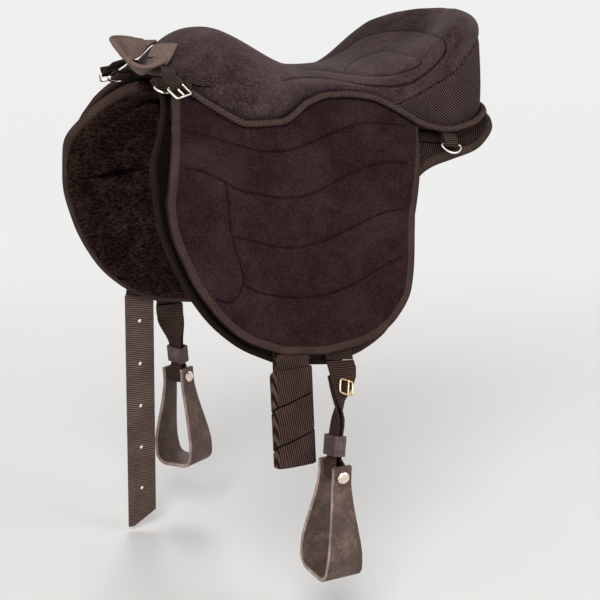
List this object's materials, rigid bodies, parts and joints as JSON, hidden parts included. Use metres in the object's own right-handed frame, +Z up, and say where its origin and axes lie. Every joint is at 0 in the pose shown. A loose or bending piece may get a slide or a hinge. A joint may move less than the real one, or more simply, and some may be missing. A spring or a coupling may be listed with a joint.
{
  "type": "treeless saddle",
  "caption": "Treeless riding saddle with padded panels, quilted flaps, a grab handle, hanging stirrups and girth straps.",
  "frame": {"origin": "on the middle plane, under the seat's floor, at the height where the panels lie beside the horse's spine", "axes": "-X to the horse's head (pommel), -Y to the horse's left, +Z up"},
  "size_m": [0.575, 0.5504, 0.7848],
  "materials": {
    "suede": "brushed microsuede, quilted",
    "handle_suede": "lighter brushed microsuede",
    "spacer_mesh": "knitted spacer mesh",
    "cord": "twisted rope covered piping",
    "webbing": "ribbed webbing",
    "fleece": "curly fleece",
    "foam": "moulded foam",
    "board": "moulded board",
    "leather": "waxed leather",
    "nickel": "polished nickel",
    "brass": "satin brass"
  },
  "bodies": {
    "saddle": {"base_sheet": "leather", "cantle_plate": "board", "cantle_riser": "spacer_mesh", "flap_top_left": "suede", "flap_top_right": "suede", "fleece_left": "fleece", "fleece_right": "fleece", "front_d_ring_left_tab": "webbing", "front_d_ring_right_tab": "webbing", "girth_carrier": "webbing", "girth_ring_left": "nickel", "girth_ring_right": "nickel", "girth_strap_upper_left": "webbing", "girth_strap_upper_right": "webbing", "handle_buckle_left": "nickel", "handle_buckle_right": "nickel", "handle_strap_left": "webbing", "handle_strap_right": "webbing", "handle_tail_left": "webbing", "handle_tail_right": "webbing", "knee_block_left": "foam", "knee_block_right": "foam", "panel_left": "spacer_mesh", "panel_right": "spacer_mesh", "pommel_fork": "board", "rear_d_ring_left_tab": "webbing", "rear_d_ring_right_tab": "webbing", "seat_cushion": "suede", "seat_piping": "cord", "stirrup_carrier": "webbing", "stirrup_ring_left": "nickel", "stirrup_ring_right": "nickel"},
    "flap_left": {"flap_left": "suede"},
    "stirrup_hanger_left": {"stirrup_strap_upper_left": "webbing"},
    "stirrup_leather_left": {"stirrup_strap_lower_left": "webbing", "keeper_left": "leather", "stirrup_buckle_left": "brass", "bolt_sleeve_left": "brass"},
    "stirrup_left": {"stirrup_left": "leather", "stirrup_bolt_left": "nickel"},
    "stirrup_tongue_left": {"stirrup_tongue_left": "brass"},
    "handle_tongue_left": {"handle_tongue_left": "nickel"},
    "rear_d_ring_left": {"rear_d_ring_left": "nickel"},
    "front_d_ring_left": {"front_d_ring_left": "nickel"},
    "girth_strap_left": {"girth_strap_folded_left": "webbing", "girth_strap_wound_left": "webbing"},
    "flap_right": {"flap_right": "suede"},
    "stirrup_hanger_right": {"stirrup_strap_upper_right": "webbing"},
    "stirrup_leather_right": {"stirrup_strap_lower_right": "webbing", "keeper_right": "leather", "stirrup_buckle_right": "brass", "bolt_sleeve_right": "brass"},
    "stirrup_right": {"stirrup_right": "leather", "stirrup_bolt_right": "nickel"},
    "stirrup_tongue_right": {"stirrup_tongue_right": "brass"},
    "handle_tongue_right": {"handle_tongue_right": "nickel"},
    "rear_d_ring_right": {"rear_d_ring_right": "nickel"},
    "front_d_ring_right": {"front_d_ring_right": "nickel"},
    "girth_billet_right": {"girth_billet_right": "webbing"},
    "handle": {"handle": "handle_suede"}
  },
  "joints": [
    {"name": "flap_left_lift", "type": "hinge", "parent": "saddle", "child": "flap_left", "pos_m": [-0.10381, -0.18151, -0.08652], "axis": [-0.9917, 0, 0.1289], "range_deg": [0, 90]},
    {"name": "stirrup_strap_left_swing", "type": "hinge", "parent": "saddle", "child": "stirrup_hanger_left", "pos_m": [-0.093, -0.1767, -0.14361], "axis": [0, -0.9848, 0.1736], "range_deg": [0, 20]},
    {"name": "stirrup_strap_left_spread", "type": "hinge", "parent": "stirrup_hanger_left", "child": "stirrup_leather_left", "pos_m": [-0.053, -0.20192, -0.28348], "axis": [-0.9917, 0, 0.1289], "range_deg": [0, 45]},
    {"name": "stirrup_left_pivot", "type": "hinge", "parent": "stirrup_leather_left", "child": "stirrup_left", "pos_m": [-0.083, -0.241, -0.418], "axis": [0, 0.9976, 0.0698], "range_deg": [-20, 30]},
    {"name": "stirrup_tongue_left_lift", "type": "hinge", "parent": "stirrup_leather_left", "child": "stirrup_tongue_left", "pos_m": [-0.05255, -0.22289, -0.30535], "axis": [-0.8816, -0.2493, 0.4008], "range_deg": [0, 70]},
    {"name": "handle_tongue_left_lift", "type": "hinge", "parent": "saddle", "child": "handle_tongue_left", "pos_m": [-0.23026, -0.12435, 0.05689], "axis": [0.9186, 0.3636, 0.1547], "range_deg": [0, 80]},
    {"name": "rear_d_ring_left_swing", "type": "hinge", "parent": "saddle", "child": "rear_d_ring_left", "pos_m": [0.164, -0.12542, -0.02928], "axis": [-0.9917, 0, 0.1289], "range_deg": [0, 110]},
    {"name": "front_d_ring_left_swing", "type": "hinge", "parent": "saddle", "child": "front_d_ring_left", "pos_m": [-0.2362, -0.07379, 0.06224], "axis": [-0.9917, 0, 0.1289], "range_deg": [0, 40]},
    {"name": "girth_strap_left_spread", "type": "hinge", "parent": "saddle", "child": "girth_strap_left", "pos_m": [-0.1275, -0.20255, -0.27622], "axis": [-0.9917, 0, 0.1289], "range_deg": [0, 40]},
    {"name": "flap_right_lift", "type": "hinge", "parent": "saddle", "child": "flap_right", "pos_m": [-0.10381, 0.18151, -0.08652], "axis": [0.9917, 0, -0.1289], "range_deg": [0, 90]},
    {"name": "stirrup_strap_right_swing", "type": "hinge", "parent": "saddle", "child": "stirrup_hanger_right", "pos_m": [-0.093, 0.1767, -0.14361], "axis": [0, -0.9848, -0.1736], "range_deg": [0, 20]},
    {"name": "stirrup_strap_right_spread", "type": "hinge", "parent": "stirrup_hanger_right", "child": "stirrup_leather_right", "pos_m": [-0.1105, 0.20192, -0.276], "axis": [0.9917, 0, -0.1289], "range_deg": [0, 45]},
    {"name": "stirrup_right_pivot", "type": "hinge", "parent": "stirrup_leather_right", "child": "stirrup_right", "pos_m": [-0.083, 0.241, -0.418], "axis": [-0.4373, 0.8966, -0.0698], "range_deg": [-30, 10]},
    {"name": "stirrup_tongue_right_lift", "type": "hinge", "parent": "stirrup_leather_right", "child": "stirrup_tongue_right", "pos_m": [-0.10475, 0.22367, -0.29747], "axis": [0.9352, -0.3315, 0.1244], "range_deg": [0, 70]},
    {"name": "handle_tongue_right_lift", "type": "hinge", "parent": "saddle", "child": "handle_tongue_right", "pos_m": [-0.23026, 0.12435, 0.05689], "axis": [-0.9186, 0.3636, -0.1547], "range_deg": [0, 80]},
    {"name": "rear_d_ring_right_swing", "type": "hinge", "parent": "saddle", "child": "rear_d_ring_right", "pos_m": [0.164, 0.12542, -0.02928], "axis": [0.9917, 0, -0.1289], "range_deg": [0, 110]},
    {"name": "front_d_ring_right_swing", "type": "hinge", "parent": "saddle", "child": "front_d_ring_right", "pos_m": [-0.2362, 0.07379, 0.06224], "axis": [0.9917, 0, -0.1289], "range_deg": [0, 40]},
    {"name": "girth_billet_right_spread", "type": "hinge", "parent": "saddle", "child": "girth_billet_right", "pos_m": [-0.1615, 0.20255, -0.2718], "axis": [0.9917, 0, -0.1289], "range_deg": [0, 50]},
    {"name": "handle_lift", "type": "hinge", "parent": "saddle", "child": "handle", "pos_m": [-0.1961, 0, 0.11], "axis": [0, 1, 0], "range_deg": [0, 30]}
  ]
}
